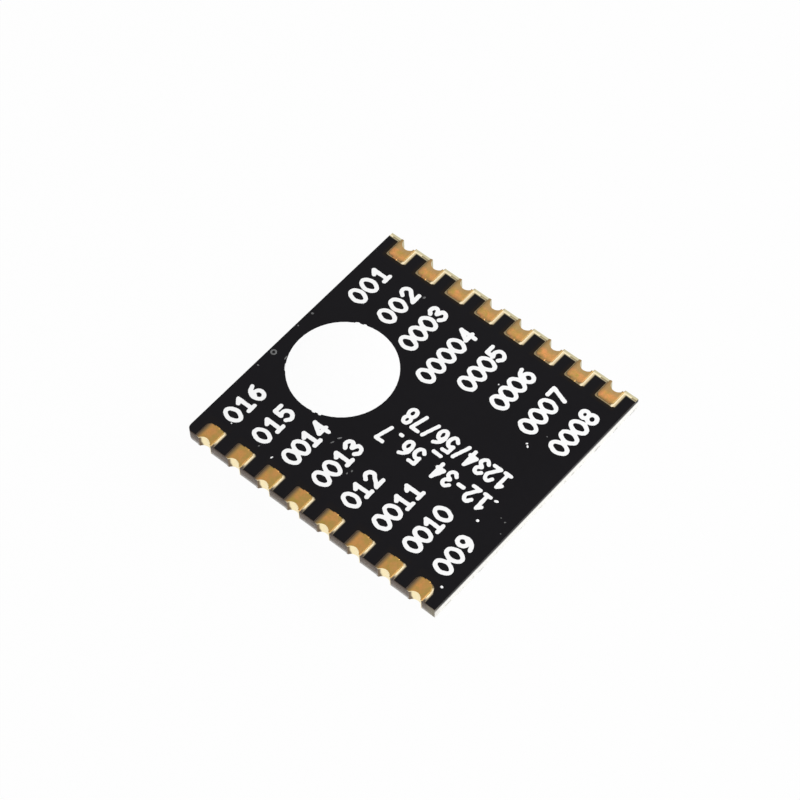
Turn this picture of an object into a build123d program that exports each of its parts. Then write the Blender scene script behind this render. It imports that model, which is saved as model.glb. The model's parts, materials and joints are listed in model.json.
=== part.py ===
from build123d import *
import os

# A castellated radio module, back face up, resting on the flat face of its shield can.
# X runs along the two contact rows, from the coax connector's end to the plain end.
# Y runs across the rows, Z is up, and zero is the can's flat face. Sizes are in millimetres.

os.makedirs("parts", exist_ok=True)

# Board
board_width = 16.0
row_end_margin = 1.25  # from the end contacts' nominal centres to the board's ends
laminate_thickness = 0.7
rounded_corner = 0.35  # one corner of the outline was cut round
copper_thickness = 0.05

# The outline was cut a little off the drilled and plated pattern.
pattern_shift_x = -0.06
pattern_shift_y = -0.05

# Contacts: plated half holes, with a pad on each face
contacts_per_row = 8
contact_pitch = 2.0
hole_radius = 0.43
hole_set_out = 0.11  # from the board's nominal edge out to the hole's centre
drill_shift_x = 0.05  # the holes were drilled a little off the pads
drill_shift_y = -0.05
plating_thickness = 0.03
pad_width = 0.9
pad_length = 1.05
pad_corner = 0.08
track_width = 0.2
pins_without_track = (3, 8)

# Mask coats. The back one was printed a little off the pattern.
mask_thickness = 0.03
mask_side_gap = 0.16  # from a pad's side to its window's edge
mask_end_gap = 0.12  # from a pad's inner end to its window's edge
mask_set_back = 0.125  # from the contact edges of the board to the mask
mask_shift_x = 0.03
mask_shift_y = -0.035
window_corner = 0.12
odd_window_corners = {9: (0.32, 0.5), 16: (0.3, 0.12)}  # pin: radius at its low X, high X corner

# White disc printed on the back
disc_radius = 2.95
disc_from_end = 3.73
disc_offset = -0.23
print_thickness = 0.012

# Shield can: one folded sheet on feet
can_height = 2.4
can_sheet = 0.2
can_bend = 0.35
can_seam = 0.08  # open seam where two walls meet
can_end_margin = 1.0
can_pad_gap = 0.4  # between the can and the front pads
feet_per_wall = 3
foot_width = 1.6
foot_relief = 0.15
land_margin = 0.12  # a land shows this far round what stands on it
land_window_gap = 0.05

# Coax connector
coax_base = 2.6
coax_base_height = 0.35
coax_sheet = 0.12
coax_height = 1.25
coax_radius = 1.0
coax_rim = 0.05
coax_end_margin = 0.6  # from the board's end to the connector
coax_side_margin = 3.3  # from the board's low Y edge to the connector
coax_can_gap = 0.45  # from the connector's tail to the can
coax_pin_radius = 0.25
coax_pin_height = 1.0
coax_pin_tip = 0.1
tail_width = 0.4
tail_length = 0.3  # past the base
tab_width = 1.6
tab_length = 0.3

# Radio chip, with leads flush in its underside
chip_size = 6.0
chip_height = 0.85
chip_edge = 0.06
chip_offset = 1.25
leads_per_side = 7
lead_pitch = 0.65
lead_width = 0.3
lead_length = 0.5
lead_height = 0.15
paddle_size = 4.2

# Crystal: ceramic base and metal lid
crystal_length = 3.2
crystal_width = 2.5
crystal_base_height = 0.5
crystal_lid_height = 0.2
crystal_lid_inset = 0.15
crystal_lid_corner = 0.3
crystal_land_length = 1.0
crystal_land_width = 0.8

# Antenna switch: moulded body on six bent leads
switch_length = 2.0
switch_width = 1.25
switch_height = 0.9
switch_stand = 0.05
switch_lead_pitch = 0.65
switch_lead_width = 0.25
switch_lead_sheet = 0.12
switch_lead_reach = 0.42
switch_lead_drop = 0.14

# Small chip parts
small_length = 1.0
small_width = 0.5
small_height = 0.5
cap_length = 0.25
cap_lip = 0.02  # an end cap stands this far proud of its body
small_pitch = 1.35
part_gap = 0.35  # between neighbouring parts inside the can

# Worked out from the sizes above
board_length = (contacts_per_row - 1) * contact_pitch + 2 * row_end_margin
front_z = can_height + copper_thickness
back_z = front_z + laminate_thickness
seat_z = can_height
row_start = -(contacts_per_row - 1) * contact_pitch / 2 + pattern_shift_x
can_side_margin = pad_length + can_pad_gap
can_width = board_width - 2 * can_side_margin
coax_x = -board_length / 2 + coax_end_margin + coax_base / 2
coax_y = -board_width / 2 + coax_side_margin + coax_base / 2
can_low_x = coax_x + coax_base / 2 + tail_length + coax_can_gap
can_length = board_length / 2 - can_end_margin - can_low_x
can_x = can_low_x + can_length / 2
chip_low_y = chip_offset - chip_size / 2
column_offset = chip_size / 2 + part_gap + small_width / 2
crystal_x = can_x + chip_size / 2 - crystal_length / 2
crystal_y = chip_low_y - part_gap - crystal_width / 2
switch_x = crystal_x - crystal_length / 2 - part_gap - switch_length / 2
switch_y = chip_low_y - part_gap - switch_lead_reach - switch_width / 2


def pins():
    """Each contact's pin number, its centre's X, and its row: 1 at high Y, -1 at low Y."""
    for index in range(contacts_per_row):
        x = row_start + index * contact_pitch
        yield index + 1, x, 1
        yield 2 * contacts_per_row - index, x, -1


def plate(sketch, low, thickness):
    """A flat layer with this outline, from the height low upwards."""
    return extrude(Pos(0, 0, low) * sketch, thickness)


def block(length, width, height):
    """A block that stands on the seat plane of its own frame."""
    return Box(length, width, height, align=(Align.CENTER, Align.CENTER, Align.MIN))


def seated(x, y, turn=0):
    """Where a part sits on the lands of the front face, which looks down."""
    return Pos(x, y, seat_z) * Rot(180, 0, turn)


def hole(x, row, radius):
    """A contact's hole, drawn at this radius."""
    centre_y = row * (board_width / 2 + hole_set_out) + pattern_shift_y + drill_shift_y
    return Pos(x + drill_shift_x, centre_y) * Circle(radius)


def strip(x, width, inner_y, row):
    """A strip of this width from inner_y to the board's contact edge."""
    length = board_width / 2 - row * inner_y
    return Pos(x, row * (board_width / 2 - length / 2)) * Rectangle(width, length)


def inner_corners(sketch, row):
    """The two corners of a strip that lie away from the board's edge, low X first."""
    nearest = sketch.vertices().sort_by(Axis.Y)
    ends = nearest[:2] if row > 0 else nearest[-2:]
    return sorted(ends, key=lambda corner: corner.X)


def board_outline():
    outline = Rectangle(board_length, board_width)
    low_corner = outline.vertices().sort_by(Axis.X)[:2].sort_by(Axis.Y)[0]
    return fillet(low_corner, rounded_corner)


def laminate():
    outline = board_outline()
    for pin, x, row in pins():
        outline -= hole(x, row, hole_radius + plating_thickness)
    return plate(outline, front_z, laminate_thickness)


def pad_inner_y(row):
    return row * (board_width / 2 - pad_length) + pattern_shift_y


def window_inner_y(row, shift_y):
    return pad_inner_y(row) - row * mask_end_gap + shift_y


def rounded(sketch, row, low_radius, high_radius):
    """The strip with its two inner corners rounded."""
    sketch = fillet(inner_corners(sketch, row)[0], low_radius)
    return fillet(inner_corners(sketch, row)[-1], high_radius)


def pad(x, row):
    return strip(x, pad_width, pad_inner_y(row), row)


def window(x, row, shift_x, shift_y):
    """The opening that a mask coat leaves round a pad."""
    width = pad_width + 2 * mask_side_gap
    return strip(x + shift_x, width, window_inner_y(row, shift_y), row)


def back_pad(pin, x, row):
    """A back pad. Where its window has an odd corner, its own corner follows it."""
    outline = pad(x, row)
    if pin in odd_window_corners:
        gap = min(mask_side_gap, mask_end_gap)
        radii = [max(pad_corner, radius - gap) for radius in odd_window_corners[pin]]
        return rounded(outline, row, *radii)
    return chamfer(inner_corners(outline, row), pad_corner)


def track(x, row):
    """The end of the track that leaves a back pad, up to where the mask covers it."""
    start = pad_inner_y(row) + row * pad_corner
    end = window_inner_y(row, mask_shift_y)
    return Pos(x, (start + end) / 2) * Rectangle(track_width, abs(end - start))


def contact(pin, x, row):
    """One piece of plating: the back pad with its track, the half hole's wall and the front pad."""
    back = back_pad(pin, x, row)
    if pin not in pins_without_track:
        back += track(x, row)
    bore = hole(x, row, hole_radius)
    wall = hole(x, row, hole_radius + plating_thickness) - bore
    wall = wall & Rectangle(board_length, board_width)
    return (
        plate(back - bore, back_z, copper_thickness)
        + plate(wall, front_z, laminate_thickness)
        + plate(pad(x, row) - bore, front_z - copper_thickness, copper_thickness)
    )


def mask_outline(shift_y):
    held_back = Rectangle(board_length, board_width - 2 * mask_set_back)
    return board_outline() & Pos(0, pattern_shift_y + shift_y) * held_back


def back_mask():
    outline = mask_outline(mask_shift_y)
    for pin, x, row in pins():
        radii = odd_window_corners.get(pin, (window_corner, window_corner))
        outline -= rounded(window(x, row, mask_shift_x, mask_shift_y), row, *radii)
    return plate(outline, back_z, mask_thickness)


def legend_disc():
    centre = Pos(disc_from_end - board_length / 2, disc_offset)
    return plate(centre * Circle(disc_radius), back_z + mask_thickness, print_thickness)


def foot_places():
    """Each foot's centre, with its length along X and along Y."""
    for index in range(feet_per_wall):
        share = (index + 0.5) / feet_per_wall - 0.5
        for side in (-1, 1):
            wall_y = side * (can_width - can_sheet) / 2
            yield can_x + share * can_length, wall_y, foot_width, can_sheet
            wall_x = can_x + side * (can_length - can_sheet) / 2
            yield wall_x, share * can_width, can_sheet, foot_width


def can_form(inset):
    """The can's solid form, drawn this far inside its outer faces."""
    form = Pos(can_x, 0, inset) * block(
        can_length - 2 * inset, can_width - 2 * inset, can_height - inset
    )
    return fillet(form.faces().sort_by(Axis.Z)[0].edges(), can_bend - inset)


def shield_can():
    """A sheet folded down on four sides, with an open seam at each corner."""
    can = can_form(0) - can_form(can_sheet)
    rim = Pos(can_x, 0, can_height - foot_relief) * block(can_length, can_width, foot_relief)
    for x, y, length, width in foot_places():
        rim -= Pos(x, y, can_height - foot_relief) * block(length, width, foot_relief)
    can -= rim
    for side_x in (-1, 1):
        for side_y in (-1, 1):
            corner = Pos(can_x + side_x * can_length / 2, side_y * can_width / 2, can_bend)
            seam = block(4 * can_sheet, can_seam, can_height)
            can -= corner * Rot(0, 0, side_x * side_y * 45) * seam
    return can


def can_lands():
    """The lands that the can's feet are soldered to."""
    return [
        Pos(x, y) * Rectangle(length + 2 * land_margin, width + 2 * land_margin)
        for x, y, length, width in foot_places()
    ]


def coax_body():
    body = block(coax_base, coax_base - 2 * coax_sheet, coax_base_height)
    return body - coax_pin()


def coax_shell():
    """A ring on a flange, with two walls that reach down to solder tabs."""
    flange = Pos(0, 0, coax_base_height) * block(coax_base, coax_base, coax_sheet)
    ring = Pos(0, 0, coax_base_height) * Cylinder(
        coax_radius,
        coax_height - coax_base_height,
        align=(Align.CENTER, Align.CENTER, Align.MIN),
    )
    ring = chamfer(ring.faces().sort_by(Axis.Z)[-1].edges(), coax_rim)
    shell = flange + ring
    shell -= Pos(0, 0, coax_base_height) * Cylinder(
        coax_radius - coax_sheet,
        coax_height,
        align=(Align.CENTER, Align.CENTER, Align.MIN),
    )
    for side in (-1, 1):
        wall = block(coax_base, coax_sheet, coax_base_height)
        shell += Pos(0, side * (coax_base - coax_sheet) / 2, 0) * wall
        tab = block(tab_width, tab_length, coax_sheet)
        shell += Pos(0, side * (coax_base + tab_length) / 2, 0) * tab
    return shell


def coax_pin():
    """The centre post, and the tail that leads from it to its land."""
    post = Cylinder(
        coax_pin_radius, coax_pin_height, align=(Align.CENTER, Align.CENTER, Align.MIN)
    )
    post = chamfer(post.faces().sort_by(Axis.Z)[-1].edges(), coax_pin_tip)
    reach = coax_base / 2 + tail_length
    return post + Pos(reach / 2, 0, 0) * block(reach, tail_width, coax_sheet)


def coax_lands():
    """One land under the tail, and one under each solder tab."""
    tail_land = Rectangle(tail_length + land_margin, tail_width + 2 * land_margin)
    tail_x = coax_x + coax_base / 2 + (tail_length + land_margin) / 2
    lands = [Pos(tail_x, coax_y) * tail_land]
    for side in (-1, 1):
        tab_y = coax_y + side * (coax_base + tab_length + land_margin) / 2
        tab_land = Rectangle(tab_width + 2 * land_margin, tab_length + land_margin)
        lands.append(Pos(coax_x, tab_y) * tab_land)
    return lands


def lead_outlines():
    """The chip's leads as they show in its underside, in the chip's own frame."""
    outlines = []
    for turn in range(4):
        for index in range(leads_per_side):
            along = (index - (leads_per_side - 1) / 2) * lead_pitch
            place = Rot(0, 0, 90 * turn) * Pos((chip_size - lead_length) / 2, along)
            outlines.append(place * Rectangle(lead_length, lead_width))
    return outlines


def chip_leads():
    """Twenty-eight leads and the ground paddle, as separate solids."""
    leads = [extrude(outline, lead_height) for outline in lead_outlines()]
    return leads + [block(paddle_size, paddle_size, lead_height)]


def chip_body():
    body = block(chip_size, chip_size, chip_height)
    body = chamfer(body.faces().sort_by(Axis.Z)[-1].edges(), chip_edge)
    for lead in chip_leads():
        body -= lead
    return body


def crystal_body():
    return block(crystal_length, crystal_width, crystal_base_height)


def crystal_lid():
    lid = Pos(0, 0, crystal_base_height) * block(
        crystal_length - 2 * crystal_lid_inset,
        crystal_width - 2 * crystal_lid_inset,
        crystal_lid_height,
    )
    return fillet(lid.edges().filter_by(Axis.Z), crystal_lid_corner)


def crystal_lands():
    lands = []
    for side_x in (-1, 1):
        for side_y in (-1, 1):
            x = crystal_x + side_x * (crystal_length - crystal_land_length) / 2
            y = crystal_y + side_y * (crystal_width - crystal_land_width) / 2
            lands.append(Pos(x, y) * Rectangle(crystal_land_length, crystal_land_width))
    return lands


def switch_body():
    body = block(switch_length, switch_width, switch_height - switch_stand)
    return Pos(0, 0, switch_stand) * body


def switch_lead_places():
    for side in (-1, 1):
        for index in (-1, 0, 1):
            yield index * switch_lead_pitch, side


def switch_leads():
    """Six bent leads: out of the body's side, down, and out again to a foot."""
    mid_z = switch_height / 2
    side_y = switch_width / 2
    knee_y = side_y + switch_lead_drop
    foot_y = side_y + switch_lead_reach
    sheet = switch_lead_sheet
    outline = Polyline(
        (side_y, mid_z),
        (knee_y, mid_z),
        (knee_y, sheet),
        (foot_y, sheet),
        (foot_y, 0),
        (knee_y - sheet, 0),
        (knee_y - sheet, mid_z - sheet),
        (side_y, mid_z - sheet),
        close=True,
    )
    lead = extrude(Plane.YZ * make_face(outline), switch_lead_width / 2, both=True)
    places = []
    for x, side in switch_lead_places():
        places.append(Pos(x, 0, 0) * Rot(0, 0, 0 if side > 0 else 180) * lead)
    return places


def switch_lands():
    length = switch_lead_width + 2 * land_window_gap
    width = switch_lead_reach - switch_lead_drop + switch_lead_sheet
    y = switch_width / 2 + switch_lead_reach - width / 2
    return [
        Pos(switch_x + x, switch_y + side * y) * Rectangle(length, width)
        for x, side in switch_lead_places()
    ]


def column(x, count, turn=90):
    """Places of small parts in a column beside the chip."""
    middle = (count - 1) / 2
    return [(x, chip_offset + (index - middle) * small_pitch, turn) for index in range(count)]


def row_beside_switch(count):
    """Places of small parts in a column that starts beside the antenna switch."""
    x = switch_x - switch_length / 2 - part_gap - small_width / 2
    y = chip_low_y - part_gap - small_length / 2
    return [(x, y - index * small_pitch, 90) for index in range(count)]


capacitor_places = column(can_x + column_offset, 4)
inductor_places = column(can_x - column_offset, 4)
resistor_places = row_beside_switch(2)


def small_bodies(places):
    body = block(small_length - 2 * cap_length, small_width - 2 * cap_lip, small_height - 2 * cap_lip)
    return [seated(*place) * Pos(0, 0, cap_lip) * body for place in places]


def end_caps():
    cap = block(cap_length, small_width, small_height)
    caps = []
    for place in capacitor_places + inductor_places + resistor_places:
        for side in (-1, 1):
            caps.append(seated(*place) * Pos(side * (small_length - cap_length) / 2, 0, 0) * cap)
    return caps


def small_lands():
    lands = []
    for x, y, turn in capacitor_places + inductor_places + resistor_places:
        for side in (-1, 1):
            cap_x = side * (small_length - cap_length) / 2
            land = Rectangle(cap_length + land_margin, small_width)
            lands.append(Pos(x, y) * Rot(0, 0, turn) * Pos(cap_x, 0) * land)
    return lands


def chip_lands():
    return [Pos(can_x, chip_offset) * outline for outline in lead_outlines()]


def paddle_land():
    return Pos(can_x, chip_offset) * Rectangle(paddle_size, paddle_size)


def as_copper(outlines):
    """Lands of this outline on the front face, as separate solids."""
    return [plate(outline, front_z - copper_thickness, copper_thickness) for outline in outlines]


def grown(outline):
    """The window that the front mask leaves round a land."""
    return offset(outline, land_window_gap, kind=Kind.INTERSECTION)


def chip_windows():
    """One window along each side's leads, and one round the paddle."""
    length = (leads_per_side - 1) * lead_pitch + lead_width + 2 * land_window_gap
    width = lead_length + 2 * land_window_gap
    windows = grown(paddle_land())
    for turn in range(4):
        place = Rot(0, 0, 90 * turn) * Pos((chip_size - lead_length) / 2, 0)
        windows += Pos(can_x, chip_offset) * place * Rectangle(width, length)
    return windows


def front_mask():
    outline = mask_outline(0)
    for pin, x, row in pins():
        outline -= window(x, row, 0, 0)
    lands = can_lands() + coax_lands() + crystal_lands() + switch_lands() + small_lands()
    for land in lands:
        outline -= grown(land)
    outline -= chip_windows()
    return plate(outline, front_z - mask_thickness, mask_thickness)


chip_place = seated(can_x, chip_offset)
crystal_place = seated(crystal_x, crystal_y)
switch_place = seated(switch_x, switch_y)
coax_place = seated(coax_x, coax_y)

nodes = {
    "laminate": laminate(),
    "back_mask": back_mask(),
    "front_mask": front_mask(),
    "legend_disc": legend_disc(),
    "shield_can": shield_can(),
    "can_lands": as_copper(can_lands()),
    "coax_body": coax_place * coax_body(),
    "coax_shell": coax_place * coax_shell(),
    "coax_pin": coax_place * coax_pin(),
    "coax_lands": as_copper(coax_lands()),
    "radio_chip": chip_place * chip_body(),
    "radio_chip_leads": [chip_place * lead for lead in chip_leads()],
    "radio_chip_lands": as_copper(chip_lands() + [paddle_land()]),
    "crystal_base": crystal_place * crystal_body(),
    "crystal_lid": crystal_place * crystal_lid(),
    "crystal_lands": as_copper(crystal_lands()),
    "antenna_switch": switch_place * switch_body(),
    "antenna_switch_leads": [switch_place * lead for lead in switch_leads()],
    "antenna_switch_lands": as_copper(switch_lands()),
    "capacitors": small_bodies(capacitor_places),
    "inductors": small_bodies(inductor_places),
    "resistors": small_bodies(resistor_places),
    "end_caps": end_caps(),
    "small_part_lands": as_copper(small_lands()),
}
for pin, x, row in pins():
    nodes[f"contact_{pin:02d}"] = contact(pin, x, row)

for name, shape in nodes.items():
    solids = []
    for piece in shape if isinstance(shape, list) else [shape]:
        solids.extend(piece.solids())
    export_step(Compound(solids) if len(solids) > 1 else solids[0], f"parts/{name}.step")
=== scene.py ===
"""Looks of a castellated radio module that lies back face up on the flat face of its shield can.

X runs along the two contact rows, Y across them and Z up. Names that end in _mm hold millimetres,
and so do the tables of places and sizes. Other lengths are in metres, and MM turns the first into
the second. Colours are linear red, green and blue.
"""

import json
import math
from contextlib import contextmanager

import bpy
from mathutils import Matrix, Vector


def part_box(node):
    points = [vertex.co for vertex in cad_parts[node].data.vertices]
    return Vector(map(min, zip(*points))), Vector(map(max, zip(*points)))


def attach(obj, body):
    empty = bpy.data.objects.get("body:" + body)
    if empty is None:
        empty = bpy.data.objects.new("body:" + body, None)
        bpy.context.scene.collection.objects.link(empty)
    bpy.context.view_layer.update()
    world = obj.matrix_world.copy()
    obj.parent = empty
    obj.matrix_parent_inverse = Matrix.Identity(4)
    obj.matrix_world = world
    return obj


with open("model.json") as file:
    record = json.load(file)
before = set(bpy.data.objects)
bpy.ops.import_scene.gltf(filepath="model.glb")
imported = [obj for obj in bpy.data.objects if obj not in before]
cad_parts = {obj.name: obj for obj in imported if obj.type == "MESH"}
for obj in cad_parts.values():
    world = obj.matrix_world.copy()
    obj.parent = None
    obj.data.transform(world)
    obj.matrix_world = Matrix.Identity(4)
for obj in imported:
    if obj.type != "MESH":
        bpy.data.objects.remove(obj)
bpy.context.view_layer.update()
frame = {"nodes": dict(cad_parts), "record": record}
bpy.ops.object.select_all(action="DESELECT")

MM = 0.001

# Faces of the solids that the looks line up with
mask_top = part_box("back_mask")[1].z
mask_top_mm = mask_top / MM
pad_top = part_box("contact_01")[1].z
board_low, board_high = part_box("laminate")
disc_low, disc_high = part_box("legend_disc")
disc_centre = (disc_low + disc_high) / 2
disc_radius = (disc_high.x - disc_low.x) / 2

# Contacts: two rows of pads, with half holes that were drilled a little off them
pins_per_row = 8
pins_without_track = (3, 8)
pad_pitch_mm = 2.0
first_pad_x_mm = -7.06
first_hole_x_mm = -7.01
hole_y_mm = {1: 8.01, -1: -8.21}
hole_radius_mm = 0.43
edge_y_mm = 8.0
rows_part_mm = 4  # the one row's looks turn into the other's within this much of the middle


def spot(x_mm, y_mm, z_mm):
    """A place given in millimetres."""
    return Vector((x_mm, y_mm, z_mm)) * MM


# Camera

bpy.ops.object.camera_add(
    location=spot(56.238, -61.107, 129.944),
    rotation=[math.radians(angle) for angle in (33.468, 1.549, 40.698)],
)
camera = bpy.context.object
camera.name = "camera"
camera.data.sensor_width = 36
camera.data.lens = 134.49
camera.data.clip_start = 0.01
camera.data.clip_end = 20
bpy.context.scene.camera = camera
bpy.context.scene.view_settings.view_transform = "Standard"


# Node helpers


def feed(tree, socket, value):
    """Gives an input a value, a colour, or the output that feeds it."""
    if isinstance(value, bpy.types.NodeSocket):
        tree.links.new(value, socket)
    elif socket.type == "RGBA":
        socket.default_value = (*value, 1)
    else:
        socket.default_value = value


def node(tree, kind, inputs=None, **settings):
    """Adds a node with these settings and inputs."""
    made = tree.nodes.new("ShaderNode" + kind)
    for name, value in settings.items():
        setattr(made, name, value)
    for name, value in (inputs or {}).items():
        feed(tree, made.inputs[name], value)
    return made


def use(tree, group, inputs=None):
    """Places a shader group in a material, and gives its outputs."""
    return node(tree, "Group", inputs, node_tree=group).outputs


def sums(tree, operation, first, second=0.0, third=0.0):
    """One Math node's output."""
    inputs = {0: first, 1: second, 2: third}
    return node(tree, "Math", inputs, operation=operation).outputs[0]


def times(tree, product, *factors):
    """The product of several values."""
    for factor in factors:
        product = sums(tree, "MULTIPLY", product, factor)
    return product


def blend(tree, share, first, second):
    """Mixes two colours. A share of 1 gives the second."""
    return node(tree, "Mix", {0: share, 6: first, 7: second}, data_type="RGBA").outputs[2]


def ramp(tree, value, low, high, to_low=0.0, to_high=1.0, smooth=True):
    """Maps a value from one range to another, clamped."""
    inputs = {
        "Value": value,
        "From Min": low,
        "From Max": high,
        "To Min": to_low,
        "To Max": to_high,
    }
    kind = "SMOOTHSTEP" if smooth else "LINEAR"
    return node(tree, "MapRange", inputs, interpolation_type=kind).outputs["Result"]


def new_group(name, inputs, outputs):
    """An empty shader group, with its inner ends ready."""
    group = bpy.data.node_groups.new(name, "ShaderNodeTree")
    for label, kind, value in inputs:
        socket = group.interface.new_socket(label, in_out="INPUT", socket_type="NodeSocket" + kind)
        if value is not None:
            socket.default_value = value
    for label, kind in outputs:
        group.interface.new_socket(label, in_out="OUTPUT", socket_type="NodeSocket" + kind)
    return group, group.nodes.new("NodeGroupInput"), group.nodes.new("NodeGroupOutput")


# Effects that several finishes share


def make_mottle():
    """Slow drift between two tones, with a finer drift on top."""
    group, start, end = new_group(
        "mottle",
        [("Place", "Vector", None), ("Size mm", "Float", 1.0), ("Contrast", "Float", 1.0)],
        [("Share", "Float")],
    )
    scale = sums(group, "DIVIDE", 1 / MM, start.outputs["Size mm"])
    noise = node(
        group,
        "TexNoise",
        {"Vector": start.outputs["Place"], "Scale": scale, "Detail": 4.0, "Roughness": 0.6},
    )
    centred = sums(group, "SUBTRACT", noise.outputs["Fac"], 0.5)
    spread = sums(group, "MULTIPLY_ADD", centred, start.outputs["Contrast"], 0.5)
    clamped = node(group, "Clamp", {"Value": spread})
    group.links.new(clamped.outputs[0], end.inputs["Share"])
    return group


def make_grain():
    """Fine surface grain, which can be drawn out along one direction."""
    group, start, end = new_group(
        "grain",
        [("Place", "Vector", None), ("Size mm", "Float", 0.1), ("Stretch", "Vector", (1, 1, 1))],
        [("Height", "Float")],
    )
    stretched = node(
        group,
        "VectorMath",
        {0: start.outputs["Place"], 1: start.outputs["Stretch"]},
        operation="MULTIPLY",
    )
    scale = sums(group, "DIVIDE", 1 / MM, start.outputs["Size mm"])
    noise = node(
        group,
        "TexNoise",
        {"Vector": stretched.outputs[0], "Scale": scale, "Detail": 3.0, "Roughness": 0.55},
    )
    group.links.new(noise.outputs["Fac"], end.inputs["Height"])
    return group


def make_flecks():
    """Scattered small spots, one here and there in a grid of cells."""
    group, start, end = new_group(
        "flecks",
        [
            ("Place", "Vector", None),
            ("Cell mm", "Float", 1.0),
            ("Radius", "Float", 0.08),
            ("Share", "Float", 0.2),
        ],
        [("Mask", "Float")],
    )
    scale = sums(group, "DIVIDE", 1 / MM, start.outputs["Cell mm"])
    cells = node(group, "TexVoronoi", {"Vector": start.outputs["Place"], "Scale": scale})
    draw = node(group, "SeparateColor", {"Color": cells.outputs["Color"]})
    chosen = sums(group, "LESS_THAN", draw.outputs[0], start.outputs["Share"])
    radius = times(group, start.outputs["Radius"], draw.outputs[1])
    inside = sums(group, "LESS_THAN", cells.outputs["Distance"], radius)
    group.links.new(times(group, chosen, inside), end.inputs["Mask"])
    return group


def make_weave():
    """Plain weave of glass bundles that run along X and Y."""
    group, start, end = new_group(
        "weave",
        [("Place", "Vector", None), ("Bundle mm", "Float", 0.5)],
        [("Height", "Float")],
    )
    parts = node(group, "SeparateXYZ", {0: start.outputs["Place"]})
    turns = sums(group, "DIVIDE", math.pi / MM, start.outputs["Bundle mm"])
    waves = []
    for axis in ("X", "Y"):
        angle = times(group, parts.outputs[axis], turns)
        waves.append(sums(group, "SINE", angle))
    crossing = times(group, *waves)
    group.links.new(sums(group, "MULTIPLY_ADD", crossing, 0.5, 0.5), end.inputs["Height"])
    return group


def make_beside_pad():
    """Where a place lies along its row of pads, in millimetres from the nearest pad's middle."""
    group, start, end = new_group("beside_pad", [("Place", "Vector", None)], [("From middle", "Float")])
    parts = node(group, "SeparateXYZ", {0: start.outputs["Place"]})
    along = sums(group, "MULTIPLY_ADD", parts.outputs["X"], 1 / MM, -first_pad_x_mm)
    offset = sums(group, "WRAP", along, pad_pitch_mm / 2, -pad_pitch_mm / 2)
    group.links.new(offset, end.inputs["From middle"])
    return group


mottle = make_mottle()
grain = make_grain()
flecks = make_flecks()
weave = make_weave()
beside_pad = make_beside_pad()


# Finishes


def finish(name, roughness, metallic=0.0, specular=0.5):
    """A new material: its tree, its shader and its coordinates."""
    material = bpy.data.materials.new(name)
    material.use_nodes = True
    tree = material.node_tree
    shader = tree.nodes["Principled BSDF"]
    shader.inputs["Roughness"].default_value = roughness
    shader.inputs["Metallic"].default_value = metallic
    shader.inputs["Specular IOR Level"].default_value = specular
    return material, tree, shader, node(tree, "TexCoord").outputs


def survey(tree, coordinates):
    """What a finish of the board asks of a place on it.

    The place itself and its parts, the parts of the direction that it faces, its offset in
    millimetres from the nearest pad's middle, and 1 in the row at low Y, falling to 0 in the other.
    """
    place = coordinates["Object"]
    at = node(tree, "SeparateXYZ", {0: place}).outputs
    facing = node(tree, "SeparateXYZ", {0: coordinates["Normal"]}).outputs
    offset = use(tree, beside_pad, {"Place": place})["From middle"]
    low_row = ramp(tree, at["Y"], rows_part_mm * MM, -rows_part_mm * MM)
    return place, at, facing, offset, low_row


def coats(tree, colour, *layers):
    """Lays tones over a colour, each given with its share."""
    for share, tone in layers:
        colour = blend(tree, share, colour, tone)
    return colour


def bump(tree, shader, height, depth_mm):
    """Relief of this depth in the finish."""
    made = node(tree, "Bump", {"Height": height, "Distance": depth_mm * MM, "Strength": 1.0})
    tree.links.new(made.outputs[0], shader.inputs["Normal"])


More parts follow.
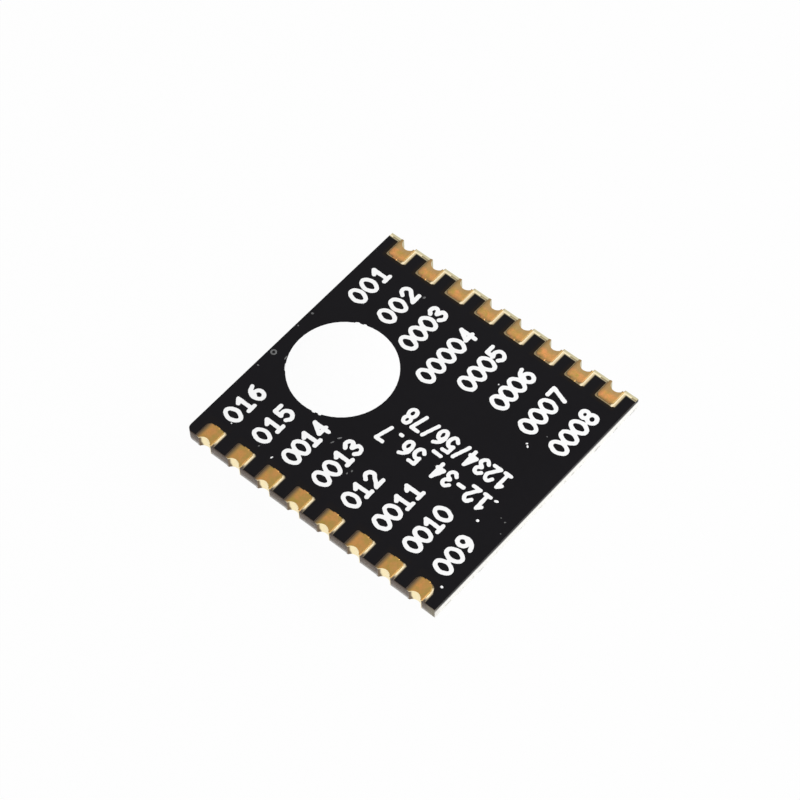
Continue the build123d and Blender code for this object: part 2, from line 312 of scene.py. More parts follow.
def make_black_mask():
    """Black coat, worn thin at the edge, with painted highlight beside the pads and in streaks on the
    cut walls under the board.
    """
    material, tree, shader, coordinates = finish("black_mask", 0.42, specular=0.08)
    place, at, facing, offset, low_row = survey(tree, coordinates)
    from_middle = sums(tree, "ABSOLUTE", at["Y"])
    drift = use(tree, mottle, {"Place": place, "Size mm": 5.0, "Contrast": 1.6})["Share"]
    dust = use(tree, flecks, {"Place": place, "Cell mm": 0.9, "Radius": 0.07, "Share": 0.12})["Mask"]

    # Warm tinge round the pads
    tinge = times(
        tree,
        ramp(tree, sums(tree, "ABSOLUTE", offset), 0.82, 0.62, 0.0, 0.8),
        ramp(tree, from_middle, 6.5 * MM, 6.7 * MM),
        ramp(tree, low_row, 0.0, 1.0, 0.8, 0.15, smooth=False),
    )

    # Worn strip along the edge at high Y
    worn_end = ramp(tree, at["Y"], 7.72 * MM, 7.78 * MM)

    # Painted highlight on the high X side of each window, which starts further out in the row at low Y,
    # and most at the round one
    reach = sums(tree, "MULTIPLY_ADD", low_row, 0.04, offset)
    round_window = times(tree, low_row, ramp(tree, at["X"], 6.0 * MM, 6.5 * MM))
    window = sums(tree, "MULTIPLY_ADD", low_row, -0.17 * MM, from_middle)
    window = sums(tree, "MULTIPLY_ADD", round_window, -0.35 * MM, window)
    window_highlight = times(
        tree,
        ramp(tree, reach, 0.735, 0.63),
        sums(tree, "GREATER_THAN", offset, 0.5),
        ramp(tree, window, 6.78 * MM, 6.86 * MM),
    )
    window_highlight_tone = blend(tree, low_row, (0.80, 0.66, 0.40), (0.85, 0.73, 0.50))

    # Painted highlight in streaks on the walls of the coat under the board, pale between dark dashes
    streaks = use(tree, grain, {"Place": place, "Size mm": 0.45})["Height"]
    cut_wall_highlight = times(
        tree,
        ramp(tree, sums(tree, "ABSOLUTE", facing["Z"]), 0.7, 0.4),
        sums(tree, "LESS_THAN", at["Z"], board_low.z + 0.01 * MM),
        ramp(tree, streaks, 0.61, 0.56),
    )

    colour = coats(
        tree,
        blend(tree, drift, (0.0036, 0.0031, 0.0041), (0.0053, 0.0048, 0.0062)),
        (times(tree, dust, 0.35), (0.2, 0.2, 0.21)),
        (tinge, (0.014, 0.009, 0.004)),
        (worn_end, (0.50, 0.45, 0.29)),
        (window_highlight, window_highlight_tone),
        (cut_wall_highlight, (0.86, 0.84, 0.80)),
    )
    tree.links.new(colour, shader.inputs["Base Color"])
    peel = use(tree, grain, {"Place": place, "Size mm": 0.35})["Height"]
    cloth = use(tree, weave, {"Place": place, "Bundle mm": 0.45})["Height"]
    relief = sums(tree, "MULTIPLY_ADD", cloth, 0.25, peel)
    bump(tree, shader, relief, 0.004)
    tree.links.new(ramp(tree, peel, 0.3, 0.7, 0.38, 0.48), shader.inputs["Roughness"])
    return material


def make_white_print():
    """White ink, brighter where it lies thick in the disc, with a few pits."""
    material, tree, shader, coordinates = finish("white_print", 0.6, specular=0.3)
    place = coordinates["Object"]
    drift = use(tree, mottle, {"Place": place, "Size mm": 0.8, "Contrast": 1.2})["Share"]
    away = node(tree, "VectorMath", {0: place, 1: disc_centre}, operation="DISTANCE")
    in_disc = ramp(tree, away.outputs["Value"], disc_radius + 0.1 * MM, disc_radius)
    pits = use(tree, flecks, {"Place": place, "Cell mm": 0.5, "Radius": 0.06, "Share": 0.06})["Mask"]
    colour = coats(
        tree,
        blend(tree, drift, (0.92, 0.92, 0.92), (0.96, 0.96, 0.96)),
        (in_disc, (0.995, 0.995, 0.995)),
        (times(tree, pits, 0.25), (0.4, 0.4, 0.4)),
    )
    tree.links.new(colour, shader.inputs["Base Color"])
    tooth = use(tree, grain, {"Place": place, "Size mm": 0.06})["Height"]
    bump(tree, shader, tooth, 0.003)
    return material


def make_gold_plate():
    """Thin gold over nickel: dull and mottled on flat pads, bright in the drilled walls, with painted
    shade and painted highlight in these tones.
    """
    material, tree, shader, coordinates = finish("gold_plate", 0.4, metallic=1.0)
    place, at, facing, offset, low_row = survey(tree, coordinates)
    high_row = sums(tree, "SUBTRACT", 1.0, low_row)
    flat = sums(tree, "ABSOLUTE", facing["Z"])
    depth = sums(tree, "SUBTRACT", board_high.z, at["Z"])
    drift = use(tree, mottle, {"Place": place, "Size mm": 0.42, "Contrast": 4.5})["Share"]
    patch = use(tree, mottle, {"Place": place, "Size mm": 0.23, "Contrast": 3.4})["Share"]
    speckle = use(tree, grain, {"Place": place, "Size mm": 0.07})["Height"]

    # Flat pads
    by_the_edge = ramp(tree, at["Y"], 7.2 * MM, 7.5 * MM, 0.0, 0.85)
    # Painted shade on the high X edge of the pads' tops and shoulders, which holds down the lamp's
    # glint there
    shoulder_shade = times(tree, ramp(tree, flat, 0.99, 0.85), ramp(tree, offset, 0.3, 0.42), 0.9)
    dull = coats(
        tree,
        blend(tree, drift, (0.72, 0.31, 0.10), (0.42, 0.30, 0.07)),
        (times(tree, patch, 0.45), (0.62, 0.28, 0.13)),
        # Painted shade: the pads in the row at low Y are darker than those at high Y
        (times(tree, low_row, 0.45), (0.22, 0.15, 0.035)),
        (ramp(tree, offset, -0.1, 0.35, 0.0, 0.22), (0.36, 0.26, 0.08)),
        (by_the_edge, (0.39, 0.265, 0.115)),
        (ramp(tree, speckle, 0.4, 0.75, 0.0, 0.5), (0.36, 0.19, 0.055)),
        (shoulder_shade, (0.15, 0.11, 0.055)),
    )

    # Drilled walls, darker down one side in the row at low Y
    dark_side_edge = sums(tree, "SUBTRACT", offset, ramp(tree, depth, 0.35 * MM, 0.7 * MM, 0.0, 0.055))
    dark_side = times(
        tree,
        ramp(tree, dark_side_edge, -0.21, -0.30),
        low_row,
        ramp(tree, depth, 0.0, 0.02 * MM),
    )
    drilled = blend(tree, low_row, (0.52, 0.45, 0.25), (1.0, 0.86, 0.53))
    drilled = blend(tree, dark_side, drilled, (0.17, 0.115, 0.065))

    # Shade on the pads' low X sides, and at their inner ends in the row at high Y
    shaded = times(
        tree,
        ramp(tree, offset, -0.24, -0.47),
        ramp(tree, low_row, 0.0, 1.0, 0.38, 0.92, smooth=False),
    )
    inner_end = times(tree, ramp(tree, at["Y"], 7.05 * MM, 6.83 * MM, 0.0, 0.45), high_row)
    shaded = sums(tree, "MAXIMUM", shaded, inner_end)
    shaded = times(tree, shaded, ramp(tree, depth, 0.0, -0.01 * MM))

    # The pale bright gold of walls and flanks is partly the plating's own colour and partly painted
    # highlight; the dull tone of flat tops is partly tarnish and partly painted shade
    colour = coats(
        tree,
        drilled,
        (ramp(tree, flat, 0.05, 0.35), (0.92, 0.74, 0.42)),
        (ramp(tree, flat, 0.35, 0.6), dull),
        (shaded, (0.13, 0.095, 0.055)),
    )
    tree.links.new(colour, shader.inputs["Base Color"])
    tree.links.new(ramp(tree, flat, 0.05, 0.4, 0.3, 0.46), shader.inputs["Roughness"])
    bump(tree, shader, speckle, 0.006)
    return material


def make_glass_epoxy():
    """Cut laminate: pale flat strips, gaps beside the pads with painted light and painted shade, cream
    ends, and brown-grey sides that are partly painted shade.
    """
    material, tree, shader, coordinates = finish("glass_epoxy", 0.6, specular=0.3)
    place, at, facing, offset, low_row = survey(tree, coordinates)
    high_row = sums(tree, "SUBTRACT", 1.0, low_row)
    from_middle = sums(tree, "ABSOLUTE", at["Y"])
    above_front = sums(tree, "SUBTRACT", at["Z"], board_low.z)
    height = sums(tree, "DIVIDE", above_front, board_high.z - board_low.z)
    drift = use(tree, mottle, {"Place": place, "Size mm": 0.3, "Contrast": 1.8})["Share"]
    fibres = use(tree, grain, {"Place": place, "Size mm": 0.09, "Stretch": (1, 1, 2.2)})["Height"]

    # Flat faces: gaps beside the pads, with painted light on their high X side and painted shade on the
    # rest, darkest at low X in the row at low Y; and the strip along the edge
    strip = blend(tree, drift, (0.56, 0.50, 0.30), (0.66, 0.61, 0.40))
    beyond_pad = ramp(tree, offset, 0.42, 0.50)
    lit = sums(
        tree,
        "MAXIMUM",
        times(tree, beyond_pad, ramp(tree, at["Y"], -6.9 * MM, -7.15 * MM, 0.5, 1.0)),
        times(tree, beyond_pad, high_row),
    )
    flat = coats(
        tree,
        blend(tree, low_row, (0.26, 0.195, 0.10), (0.085, 0.056, 0.034)),
        (ramp(tree, offset, -0.52, -0.4), (0.30, 0.22, 0.11)),
        (lit, (0.95, 0.81, 0.55)),
        (ramp(tree, from_middle, 7.84 * MM, 7.9 * MM), strip),
        (ramp(tree, at["Y"], -7.6 * MM, -7.9 * MM), (0.09, 0.065, 0.05)),
    )

    # Sawn ends, with grey dashes low down and the black coat run over the top
    low_dashes = use(tree, grain, {"Place": place, "Size mm": 0.45, "Stretch": (1, 1, 0.2)})["Height"]
    low_dashes = times(tree, ramp(tree, low_dashes, 0.56, 0.61), ramp(tree, height, 0.22, 0.12), 0.5)
    end_wall = coats(
        tree,
        blend(tree, ramp(tree, fibres, 0.35, 0.7), (0.84, 0.83, 0.80), (0.76, 0.75, 0.71)),
        (low_dashes, (0.30, 0.29, 0.24)),
        (ramp(tree, height, 0.56, 0.82), (0.012, 0.011, 0.012)),
        (ramp(tree, at["Y"], -7.4 * MM, -8.0 * MM, 0.0, 0.3), (0.40, 0.36, 0.30)),
    )

    # Long sides: a darker brown-grey than the ends, partly the laminate's own tone and partly painted
    # shade; darker towards the top, pale at the foot, and paler towards the corner at high X as painted
    # light
    side_wall = coats(
        tree,
        blend(tree, ramp(tree, fibres, 0.35, 0.65), (0.24, 0.19, 0.16), (0.52, 0.44, 0.38)),
        (ramp(tree, height, 0.5, 1.0, 0.0, 0.75), (0.12, 0.085, 0.065)),
        (ramp(tree, height, 0.42, 0.03), (0.96, 0.92, 0.87)),
        # Painted light on the long side towards the corner at high X
        (ramp(tree, at["X"], 7.5 * MM, 8.1 * MM, 0.0, 0.75), (0.52, 0.47, 0.34)),
    )

    colour = coats(
        tree,
        side_wall,
        (ramp(tree, sums(tree, "ABSOLUTE", facing["X"]), 0.5, 0.8), end_wall),
        (ramp(tree, sums(tree, "ABSOLUTE", facing["Z"]), 0.5, 0.8), flat),
    )
    tree.links.new(colour, shader.inputs["Base Color"])
    bump(tree, shader, fibres, 0.012)
    return material


def make_metal(name, low, high, roughness, stretch, size_mm, depth_mm):
    """Tin or tinned sheet, with fine marks drawn out along one direction."""
    material, tree, shader, coordinates = finish(name, roughness, metallic=1.0)
    place = coordinates["Object"]
    drift = use(tree, mottle, {"Place": place, "Size mm": 2.5, "Contrast": 1.6})["Share"]
    tree.links.new(blend(tree, drift, low, high), shader.inputs["Base Color"])
    marks = use(tree, grain, {"Place": place, "Size mm": size_mm, "Stretch": stretch})["Height"]
    gloss = ramp(tree, marks, 0.3, 0.7, roughness - 0.06, roughness + 0.08)
    tree.links.new(gloss, shader.inputs["Roughness"])
    bump(tree, shader, marks, depth_mm)
    return material


def make_body(name, low, high, roughness):
    """Moulded or fired bodies, with fine tooth."""
    material, tree, shader, coordinates = finish(name, roughness, specular=0.4)
    place = coordinates["Object"]
    drift = use(tree, mottle, {"Place": place, "Size mm": 0.6, "Contrast": 1.8})["Share"]
    tree.links.new(blend(tree, drift, low, high), shader.inputs["Base Color"])
    tooth = use(tree, grain, {"Place": place, "Size mm": 0.05})["Height"]
    gloss = ramp(tree, tooth, 0.3, 0.7, roughness - 0.05, roughness + 0.05)
    tree.links.new(gloss, shader.inputs["Roughness"])
    bump(tree, shader, tooth, 0.006)
    return material


# Each metal's two tones, its roughness, and the stretch, size and depth of its marks
metals = {
    "tinned_steel": ((0.60, 0.60, 0.59), (0.70, 0.70, 0.69), 0.30, (0.08, 1, 1), 0.05, 0.0015),
    "tin_plate": ((0.62, 0.62, 0.61), (0.74, 0.74, 0.73), 0.26, (1, 1, 1), 0.05, 0.003),
    "solder": ((0.62, 0.62, 0.62), (0.74, 0.74, 0.74), 0.34, (1, 1, 1), 0.3, 0.001),
}
# Each body's two tones and its roughness
bodies = {
    "pale_moulding": ((0.72, 0.69, 0.60), (0.78, 0.75, 0.66), 0.5),
    "black_moulding": ((0.010, 0.010, 0.011), (0.016, 0.016, 0.017), 0.6),
    "white_ceramic": ((0.68, 0.65, 0.57), (0.74, 0.71, 0.63), 0.45),
    "tan_ceramic": ((0.38, 0.22, 0.11), (0.45, 0.27, 0.14), 0.5),
    "grey_ceramic": ((0.26, 0.28, 0.29), (0.32, 0.34, 0.35), 0.5),
    "dark_ceramic": ((0.012, 0.012, 0.012), (0.02, 0.02, 0.02), 0.35),
    # Grey for real scuffs on the mask, and painted highlight on the covered via's rim
    "scuffs_and_sheen_mask": ((0.05, 0.05, 0.05), (0.16, 0.16, 0.16), 0.5),
}
finishes = {
    "black_mask": make_black_mask(),
    "white_print": make_white_print(),
    "gold_plate": make_gold_plate(),
    "glass_epoxy": make_glass_epoxy(),
}
for name, values in metals.items():
    finishes[name] = make_metal(name, *values)
for name, values in bodies.items():
    finishes[name] = make_body(name, *values)
for part in frame["record"]["subparts"]:
    slots = frame["nodes"][part["node"]].data.materials
    slots.clear()
    slots.append(finishes[part["material_slot"]])


# Mesh helpers

# What lies this near a cut, or another point of a line, is taken as on it
near_mm = 0.0001
smooth_below = math.radians(60)


@contextmanager
def edit_mode():
    """Edit mode for the active object while the block runs."""
    bpy.ops.object.mode_set(mode="EDIT")
    yield
    bpy.ops.object.mode_set(mode="OBJECT")


def only(piece):
    """Selects one object and nothing else."""
    bpy.ops.object.select_all(action="DESELECT")
    piece.select_set(True)
    bpy.context.view_layer.objects.active = piece


def join(objects, name):
    """Makes one object of several."""
    only(objects[0])
    for piece in objects:
        piece.select_set(True)
    if len(objects) > 1:
        bpy.ops.object.join()
    made = bpy.context.object
    made.name = name
    made.data.name = name
    return made


def pick(piece, kind, wanted):
    """Selects the wanted vertices or edges of a mesh, and nothing else of it."""
    with edit_mode():
        bpy.ops.mesh.select_mode(type=kind)
        bpy.ops.mesh.select_all(action="DESELECT")
    elements = {"VERT": piece.data.vertices, "EDGE": piece.data.edges}[kind]
    for element, chosen in zip(elements, wanted):
        element.select = chosen


def cut(place, keep_below, across=(0, 0, 1), near=near_mm * MM):
    """Cuts the active object with a plane through this place and closes the cut."""
    with edit_mode():
        bpy.ops.mesh.select_all(action="SELECT")
        bpy.ops.mesh.bisect(
            plane_co=place,
            plane_no=across,
            use_fill=True,
            clear_outer=keep_below,
            clear_inner=not keep_below,
            threshold=near,
        )


def dress(piece, slot, look=None):
    """Gives a finished piece its slot's finish or another, and lets it ride with the board."""
    piece.data.materials.clear()
    piece.data.materials.append(finishes[look or slot])
    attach(piece, "root")


def roughen(piece, size_mm, shift_mm):
    """Moves the outline in and out a little, as ink or solder runs."""
    only(piece)
    for axis in "XY":
        cloud = bpy.data.textures.new("ink_run_" + axis, "CLOUDS")
        cloud.noise_scale = size_mm * MM
        cloud.noise_basis = "ORIGINAL_PERLIN" if axis == "X" else "IMPROVED_PERLIN"
        bpy.ops.object.modifier_add(type="DISPLACE")
        run = piece.modifiers[-1]
        run.texture = cloud
        run.texture_coords = "LOCAL"
        run.direction = axis
        run.strength = shift_mm * MM
        bpy.ops.object.modifier_apply(modifier=run.name)


# Printed numbers

# Strokes of each character in a cell one unit wide and one high. A third value of 1 marks a sharp
# corner, and a stroke that ends with its first point is closed.
strokes = {
    "0": [[(0.5, 1), (1, 0.72), (1, 0.28), (0.5, 0), (0, 0.28), (0, 0.72), (0.5, 1)]],
    "1": [[(0.12, 0.78, 1), (0.55, 1, 1), (0.55, 0, 1)], [(0.12, 0, 1), (0.95, 0, 1)]],
    "2": [[(0, 0.76), (0.5, 1), (1, 0.72), (0.62, 0.40), (0, 0, 1), (1, 0, 1)]],
    "3": [[(0, 0.82), (0.5, 1), (0.95, 0.76), (0.4, 0.53, 1), (1, 0.27), (0.5, 0), (0, 0.18)]],
    "4": [[(0.75, 0, 1), (0.75, 1, 1), (0, 0.32, 1), (1, 0.32, 1)]],
    "5": [[(0.95, 1, 1), (0.1, 1, 1), (0.05, 0.55, 1), (0.55, 0.64), (1, 0.32), (0.5, 0), (0, 0.16)]],
    "6": [[(0.85, 0.95), (0.25, 0.78), (0, 0.32), (0.5, 0), (1, 0.30), (0.5, 0.60), (0.05, 0.38)]],
    "7": [[(0, 1, 1), (1, 1, 1), (0.4, 0, 1)]],
    "8": [
        [(0.5, 1), (0.92, 0.77), (0.5, 0.54), (0.08, 0.77), (0.5, 1)],
        [(0.5, 0.54), (1, 0.27), (0.5, 0), (0, 0.27), (0.5, 0.54)],
    ],
    "9": [[(0.15, 0.05), (0.75, 0.22), (1, 0.68), (0.5, 1), (0, 0.70), (0.5, 0.40), (0.95, 0.62)]],
    "-": [[(0.1, 0.45, 1), (0.9, 0.45, 1)]],
    "_": [[(0, -0.3, 1), (1.1, -0.3, 1)]],
    "/": [[(0.1, 0, 1), (0.9, 1, 1)]],
    ".": [[(0.4, 0.02, 1), (0.6, 0.02, 1)]],
}
# Text, the X of the row's foot and the Y where it starts, and the length of the row
pin_rows = [
    ("001", -6.48, 3.48, 2.29),
    ("002", -4.48, 3.48, 2.29),
    ("0003", -2.53, 2.90, 2.87),
    ("00004", -0.50, 1.93, 3.74),
    ("0005", 1.43, 2.90, 2.87),
    ("0006", 3.43, 3.07, 2.61),
    ("0007", 5.47, 2.87, 2.91),
    ("0008", 7.47, 2.87, 2.91),
    ("016", -6.50, -6.13, 2.24),
    ("015", -4.53, -6.13, 2.24),
    ("0014", -2.53, -6.13, 2.69),
    ("0013", -0.50, -6.13, 2.91),
    ("012", 1.47, -6.13, 2.16),
    ("0011", 3.50, -6.13, 2.91),
    ("0010", 5.50, -6.13, 2.82),
    ("009", 7.47, -6.13, 2.24),
]
# Text, the X and Y where the line starts, and its length
middle_lines = [
    ("1234/56/78", 6.30, 0.26, 6.49),
    ("12-34_56.7", 6.30, -1.33, 6.80),
]
letter_height_mm = 0.93
pin_letter_mm = {"width_mm": 0.52, "stroke_mm": 0.235}
middle_letter_mm = {"width_mm": 0.42, "stroke_mm": 0.215}
ink_mm = 0.012
ink_under_mm = 0.002  # the print starts this far inside the mask
voxel_mm = 0.022


def split_at_corners(points):
    """The runs of a stroke between its sharp corners."""
    runs = [[points[0]]]
    for point in points[1:]:
        runs[-1].append(point)
        if len(point) > 2:
            runs.append([point])
    return [run for run in runs if len(run) > 1]


def draw_stroke(points, width_mm, stroke_mm):
    """One round line, with a ball at each of its points if it is open."""
    closed = points[0] == points[-1]
    curve = bpy.data.curves.new("stroke", "CURVE")
    curve.dimensions = "3D"
    curve.resolution_u = 10
    curve.bevel_depth = stroke_mm / 2
    curve.bevel_resolution = 3
    curve.use_fill_caps = not closed
    spline = curve.splines.new("BEZIER")
    kept = points[:-1] if closed else points
    spline.bezier_points.add(len(kept) - 1)
    for point, (x, y, *sharp) in zip(spline.bezier_points, kept):
        point.co = (x * width_mm, y * letter_height_mm, 0)
        point.handle_left_type = point.handle_right_type = "VECTOR" if sharp else "AUTO"
    spline.use_cyclic_u = closed
    line = bpy.data.objects.new("stroke", curve)
    bpy.context.collection.objects.link(line)
    only(line)
    bpy.ops.object.convert(target="MESH")
    pieces = [bpy.context.object]
    if closed:
        return pieces
    for x, y, *_ in points:
        bpy.ops.mesh.primitive_uv_sphere_add(
            segments=20,
            ring_count=10,
            radius=stroke_mm / 2,
            location=(x * width_mm, y * letter_height_mm, 0),
        )
        pieces.append(bpy.context.object)
    return pieces


def draw_character(character, width_mm, stroke_mm):
    """One character in millimetres, as loose round strokes."""
    runs = [run for stroke in strokes[character] for run in split_at_corners(stroke)]
    pieces = [piece for run in runs for piece in draw_stroke(run, width_mm, stroke_mm)]
    made = join(pieces, "character")
    bpy.ops.object.transform_apply(location=True, rotation=True, scale=True)
    return made


def print_line(text, start, along, length_mm, width_mm, stroke_mm):
    """A printed row of characters that starts at start, runs along this direction and is cut flat."""
    pitch = (length_mm - width_mm) / (len(text) - 1)
    pieces = []
    for index, character in enumerate(text):
        key = (character, width_mm, stroke_mm)
        if key not in drawn:
            drawn[key] = draw_character(*key)
        copy = drawn[key].copy()
        copy.data = drawn[key].data.copy()
        copy.data.transform(Matrix.Translation((pitch * index, 0, 0)))
        bpy.context.collection.objects.link(copy)
        pieces.append(copy)
    made = join(pieces, "line")
    bpy.ops.object.modifier_add(type="REMESH")
    made.modifiers[0].mode = "VOXEL"
    made.modifiers[0].voxel_size = voxel_mm
    bpy.ops.object.modifier_apply(modifier=made.modifiers[0].name)
    cut((0, 0, ink_mm), keep_below=True, near=near_mm)
    cut((0, 0, -ink_under_mm), keep_below=False, near=near_mm)
    along = Vector(along)
    up = Vector((-along.y, along.x, 0))
    turn = Matrix((along, up, (0, 0, 1))).transposed().to_4x4()
    made.data.transform(Matrix.Translation(start) @ turn @ Matrix.Scale(MM, 4))
    return made


drawn = {}
rows = []
for text, x, y, length in pin_rows:
    rows.append(print_line(text, spot(x, y, mask_top_mm), (0, 1, 0), length, **pin_letter_mm))
pin_numbers = join(rows, "pin_numbers")
lines = []
for text, x, y, length in middle_lines:
    lines.append(print_line(text, spot(x, y, mask_top_mm), (-1, 0, 0), length, **middle_letter_mm))
centre_lines = join(lines, "centre_lines")
for character in drawn.values():
    bpy.data.objects.remove(character)
for piece in (pin_numbers, centre_lines):
    roughen(piece, size_mm=0.22, shift_mm=0.06)
    dress(piece, "white_print")


# Ink spots and marks on the mask

# X and Y, then length, width and height, and the turn
ink_spots = [
    ((5.60, 2.30), (0.13, 0.09, 0.020), 40),
    ((5.74, 2.18), (0.18, 0.10, 0.024), -40),
    ((6.60, -1.31), (0.26, 0.15, 0.024), 20),
    ((6.60, -2.76), (0.17, 0.16, 0.024), 0),
    ((7.68, -6.78), (0.16, 0.14, 0.024), 0),
    ((-3.74, -6.53), (0.17, 0.08, 0.016), 75),
    ((2.23, 4.15), (0.09, 0.07, 0.016), 0),
    ((-6.69, -6.31), (0.08, 0.07, 0.016), 0),
    ((3.42, -1.62), (0.08, 0.07, 0.016), 0),
]
# Where the disc's ink ran past its edge: the angle round it, the length along it and the reach
disc_runs = [
    (108, 0.18, 0.06),
    (116, 0.30, 0.07),
    (281, 0.20, 0.05),
    (288, 0.20, 0.07),
    (217, 0.50, 0.04),
]
# X and Y, then length, width and height, and the turn
scuffs = [
    ((-4.22, 5.86), (0.18, 0.12, 0.014), 60),
    ((-8.04, 1.40), (0.16, 0.12, 0.012), 30),
    ((-8.10, 0.35), (0.10, 0.08, 0.012), 0),
    ((-8.04, -2.81), (0.12, 0.08, 0.012), 0),
    ((-7.25, -1.56), (0.08, 0.26, 0.012), 10),
    ((-1.87, -3.48), (0.09, 0.26, 0.010), -35),
    ((-1.99, -3.90), (0.08, 0.22, 0.010), -25),
    ((-0.10, -4.56), (0.10, 0.14, 0.010), 20),
    ((-0.20, -4.82), (0.08, 0.12, 0.010), 0),
    ((-4.70, -6.43), (0.12, 0.07, 0.010), 60),
    ((6.13, 3.27), (0.09, 0.06, 0.010), 0),
    ((7.71, -1.98), (0.10, 0.07, 0.010), 30),
    ((7.96, -2.62), (0.08, 0.06, 0.010), 0),
    ((7.40, -1.90), (0.07, 0.05, 0.010), 0),
]
foot_of_ink = (0, 0, mask_top - ink_under_mm * MM)


def blob(place_mm, size_mm, turn):
    """A flat drop of this length, width and height, on the mask."""
    bpy.ops.mesh.primitive_ico_sphere_add(subdivisions=3, radius=0.5, location=(0, 0, 0))
    made = bpy.context.object
    shape = Matrix.Rotation(math.radians(turn), 4, "Z") @ Matrix.Diagonal((*size_mm, 1))
    place = Matrix.Translation(spot(*place_mm, mask_top_mm))
    made.data.transform(place @ Matrix.Scale(MM, 4) @ shape)
    only(made)
    cut(foot_of_ink, keep_below=False)
    return made


for angle, length, reach in disc_runs:
    out = Vector((math.cos(math.radians(angle)), math.sin(math.radians(angle))))
    place_mm = (disc_centre.xy + out * disc_radius) / MM
    ink_spots.append((place_mm, (2 * reach, length, 2 * ink_mm), angle))
dress(join([blob(*spot_of_ink) for spot_of_ink in ink_spots], "ink_flecks"), "white_print")
dress(join([blob(*scuff) for scuff in scuffs], "mask_scuffs"), "black_mask", "scuffs_and_sheen_mask")


# Rounded shoulders of the back pads

shoulder_mm = 0.075
shoulder_below_pad_mm = 0.002
shoulder_inside_edge_mm = 0.004
merge_mm = 0.0005
track_half_mm = 0.2
on_line_mm = 0.001
near_edge_mm = 0.003
near_bore_mm = 0.004


def copy_of(name):
    """A copy of a solid's mesh, with its loose triangles merged."""
    made = frame["nodes"][name].copy()
    made.data = frame["nodes"][name].data.copy()
    made.parent = None
    bpy.context.collection.objects.link(made)
    only(made)
    with edit_mode():
        bpy.ops.mesh.select_all(action="SELECT")
        bpy.ops.mesh.remove_doubles(threshold=merge_mm * MM)
    return made


def pad_outline(name):
    """The edges round the top of a contact's back pad, without its faces."""
    pad = copy_of(name)
    below = [vertex.co.z < pad_top - on_line_mm * MM for vertex in pad.data.vertices]
    pick(pad, "VERT", below)
    with edit_mode():
        bpy.ops.mesh.delete(type="VERT")
        bpy.ops.mesh.select_all(action="SELECT")
        bpy.ops.mesh.dissolve_limited(angle_limit=math.radians(1))
        bpy.ops.mesh.select_all(action="SELECT")
        bpy.ops.mesh.delete(type="ONLY_FACE")
    return pad


def open_the_line(pad, tests):
    """Drops the edges whose two ends both pass one of these tests."""
    places = [vertex.co / MM for vertex in pad.data.vertices]
    dropped = []
    for edge in pad.data.edges:
        ends = [places[index] for index in edge.vertices]
        dropped.append(any(all(test(end) for end in ends) for test in tests))
    pick(pad, "EDGE", dropped)
    with edit_mode():
        bpy.ops.mesh.delete(type="EDGE")
        bpy.ops.mesh.select_mode(type="VERT")


def shoulder(pin):
    """The rounded flank round one back pad, from its top edge down to the laminate."""
    row = 1 if pin <= pins_per_row else -1
    index = pin - 1 if row > 0 else 2 * pins_per_row - pin
    hole_x_mm = first_hole_x_mm + index * pad_pitch_mm
    name = f"contact_{pin:02d}"
    low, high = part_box(name)
    inner_y_mm = (low.y if row > 0 else high.y) / MM

    def at_bore(place):
        away = math.hypot(place.x - hole_x_mm, place.y - hole_y_mm[row])
        return away < hole_radius_mm + near_bore_mm

    def at_edge(place):
        return abs(place.y) > edge_y_mm - on_line_mm

    def at_track_end(place):
        at_end = abs(place.y - inner_y_mm) < on_line_mm
        return at_end and abs(place.x - hole_x_mm) < track_half_mm

    tests = [at_bore, at_edge]
    if pin not in pins_without_track:
        tests.append(at_track_end)
    pad = pad_outline(name)
    open_the_line(pad, tests)
    only(pad)
    bpy.ops.object.convert(target="CURVE")
    line = bpy.context.object
    line.data.bevel_depth = shoulder_mm * MM
    line.data.bevel_resolution = 5
    line.data.use_fill_caps = True
    bpy.ops.object.convert(target="MESH")
    made = bpy.context.object
    rise = pad_top - board_high.z - shoulder_below_pad_mm * MM
    down = Matrix.Translation((0, 0, -pad_top))
    flatten = Matrix.Diagonal((1, 1, rise / (shoulder_mm * MM), 1))
    made.data.transform(Matrix.Translation((0, 0, board_high.z)) @ flatten @ down)
    for vertex in made.data.vertices:
        if abs(vertex.co.y) > (edge_y_mm - near_edge_mm) * MM:
            vertex.co.y = row * (edge_y_mm - shoulder_inside_edge_mm) * MM
    return made


pins = range(1, 2 * pins_per_row + 1)
contact_shoulders = join([shoulder(pin) for pin in pins], "contact_shoulders")
with edit_mode():
    bpy.ops.mesh.select_all(action="SELECT")
    bpy.ops.mesh.remove_doubles(threshold=near_mm * MM)
    bpy.ops.mesh.normals_make_consistent(inside=False)
bpy.ops.object.shade_smooth_by_angle(angle=smooth_below)
dress(contact_shoulders, "gold_plate")


# Covered via

via_place_mm = (-7.97, -1.70)
via_radius_mm = 0.13
via_rim_mm = 0.05
via_flatness = 0.36


def via_ring():
    """The ring of a via that shows through the mask over it."""
    bpy.ops.object.select_all(action="DESELECT")
    bpy.ops.mesh.primitive_torus_add(
        major_radius=via_radius_mm * MM,
        minor_radius=via_rim_mm * MM,
        major_segments=36,
        minor_segments=12,
        location=(0, 0, 0),
    )
    made = bpy.context.object
    made.name = made.data.name = "covered_via"
    flatten = Matrix.Diagonal((1, 1, via_flatness, 1))
    made.data.transform(Matrix.Translation(spot(*via_place_mm, mask_top_mm)) @ flatten)
    only(made)
    cut(foot_of_ink, keep_below=False)
    bpy.ops.object.shade_smooth()
    return made


# Its grey finish paints the highlight on the rim of the covered via
dress(via_ring(), "black_mask", "scuffs_and_sheen_mask")


# Solder at the can's feet and at the connector

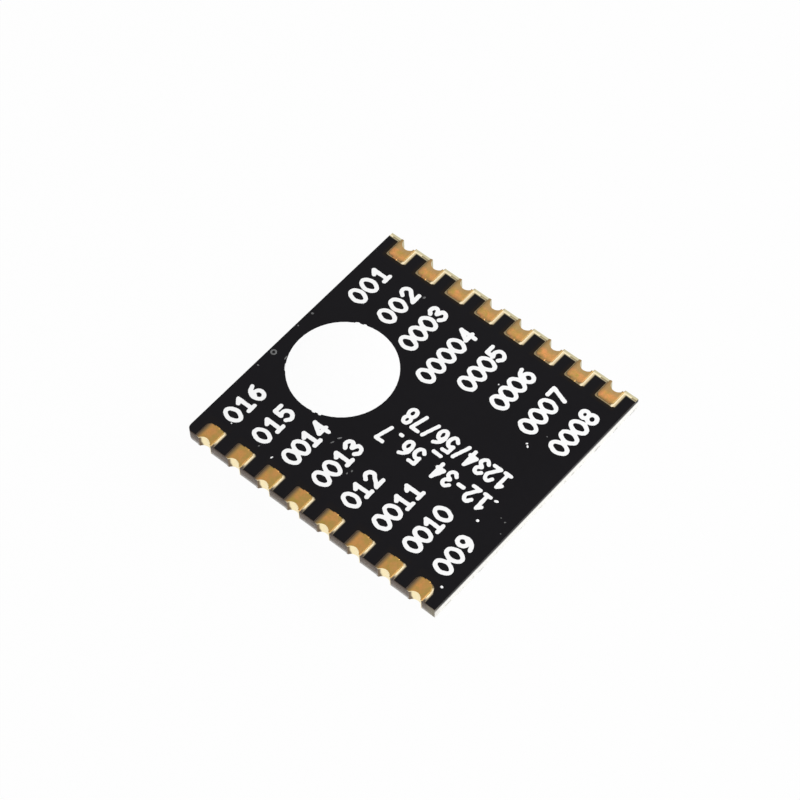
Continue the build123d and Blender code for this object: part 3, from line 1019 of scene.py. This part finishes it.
land_face_mm = 2.40
land_overlap_mm = 0.002
wall_overlap_mm = 0.01
fillet_reach_mm = 0.11
can_foot_mm = {"half_mm": 0.86, "drop_mm": 0.26}
coax_tab_mm = {"half_mm": 0.88, "drop_mm": 0.11}
coax_tail_mm = {"half_mm": 0.27, "drop_mm": 0.11}


def fillet_of_solder(x_mm, y_mm, outward, half_mm, drop_mm):
    """Solder run up from a land, half_mm either way from this spot on the face that it wets."""
    bpy.ops.mesh.primitive_ico_sphere_add(subdivisions=4, radius=1, location=(0, 0, 0))
    made = bpy.context.object
    place = spot(x_mm, y_mm, land_face_mm)
    if outward.x:
        size = spot(fillet_reach_mm, half_mm, drop_mm)
    else:
        size = spot(half_mm, fillet_reach_mm, drop_mm)
    made.data.transform(Matrix.Translation(place) @ Matrix.Diagonal((*size, 1)))
    only(made)
    cut((0, 0, (land_face_mm + land_overlap_mm) * MM), keep_below=True)
    cut(place - outward * wall_overlap_mm * MM, keep_below=False, across=outward)
    return made


can_low, can_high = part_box("shield_can")
can_middle_mm = (can_low + can_high) / 2 / MM
can_span_mm = (can_high - can_low) / MM
feet = []
for share in (-1 / 3, 0, 1 / 3):
    for side in (-1, 1):
        x_mm, y_mm = can_middle_mm.x + share * can_span_mm.x, side * can_span_mm.y / 2
        feet.append(fillet_of_solder(x_mm, y_mm, Vector((0, side, 0)), **can_foot_mm))
        x_mm, y_mm = can_middle_mm.x + side * can_span_mm.x / 2, share * can_span_mm.y
        feet.append(fillet_of_solder(x_mm, y_mm, Vector((side, 0, 0)), **can_foot_mm))
can_solder = join(feet, "can_solder")
coax_low, coax_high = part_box("coax_shell")
coax_middle_mm = (coax_low + coax_high) / 2 / MM
joints = []
for side in (-1, 1):
    y_mm = (coax_low.y if side < 0 else coax_high.y) / MM
    joints.append(fillet_of_solder(coax_middle_mm.x, y_mm, Vector((0, side, 0)), **coax_tab_mm))
tail_end_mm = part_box("coax_pin")[1].x / MM
joints.append(fillet_of_solder(tail_end_mm, coax_middle_mm.y, Vector((1, 0, 0)), **coax_tail_mm))
coax_solder = join(joints, "coax_solder")
for piece in (can_solder, coax_solder):
    roughen(piece, size_mm=1.4, shift_mm=0.02)
    bpy.ops.object.shade_smooth_by_angle(angle=smooth_below)
    dress(piece, "tin_plate", "solder")


# Floor, world and lamp


def seen_directly(tree):
    """1 where the camera sees this, straight or in gloss or glass."""
    path = node(tree, "LightPath")
    seen = sums(tree, "MAXIMUM", path.outputs["Is Camera Ray"], path.outputs["Is Glossy Ray"])
    return sums(tree, "MAXIMUM", seen, path.outputs["Is Transmission Ray"])


def make_floor_finish():
    """White to the eye, and a duller paper to the light that it sends back."""
    material = bpy.data.materials.new("floor")
    material.use_nodes = True
    tree = material.node_tree
    tree.nodes.clear()
    paper = node(tree, "BsdfDiffuse", {"Color": (0.6, 0.6, 0.6)})
    glow = node(tree, "Emission", {"Color": (1, 1, 1), "Strength": 1.0})
    share = times(tree, seen_directly(tree), 0.975)
    both = node(tree, "MixShader", {0: share, 1: paper.outputs[0], 2: glow.outputs[0]})
    node(tree, "OutputMaterial", {"Surface": both.outputs[0]})
    return material


def make_world():
    """White sky, dimmer as a light than it is to the eye."""
    world = bpy.data.worlds.new("studio")
    world.use_nodes = True
    tree = world.node_tree
    tree.nodes.clear()
    strength = ramp(tree, seen_directly(tree), 0.0, 1.0, 0.28, 1.0, smooth=False)
    sky = node(tree, "Background", {"Color": (1, 1, 1), "Strength": strength})
    node(tree, "OutputWorld", {"Surface": sky.outputs[0]})
    return world


def add_lamp(name, place, aim, size_mm, watts):
    """A soft square lamp at this place that looks at another."""
    bpy.ops.object.light_add(type="AREA", location=place)
    made = bpy.context.object
    made.name = name
    made.rotation_euler = (aim - place).to_track_quat("-Z", "Y").to_euler()
    made.data.size = size_mm * MM
    made.data.energy = watts


floor_side = 1.2
bpy.ops.mesh.primitive_plane_add(size=floor_side, location=(0, 0, 0))
floor = bpy.context.object
floor.name = "floor"
floor.data.materials.append(make_floor_finish())
bpy.context.scene.world = make_world()
add_lamp("key", spot(246, 138, 234), aim=spot(0, 0, 3), size_mm=290, watts=1.80)
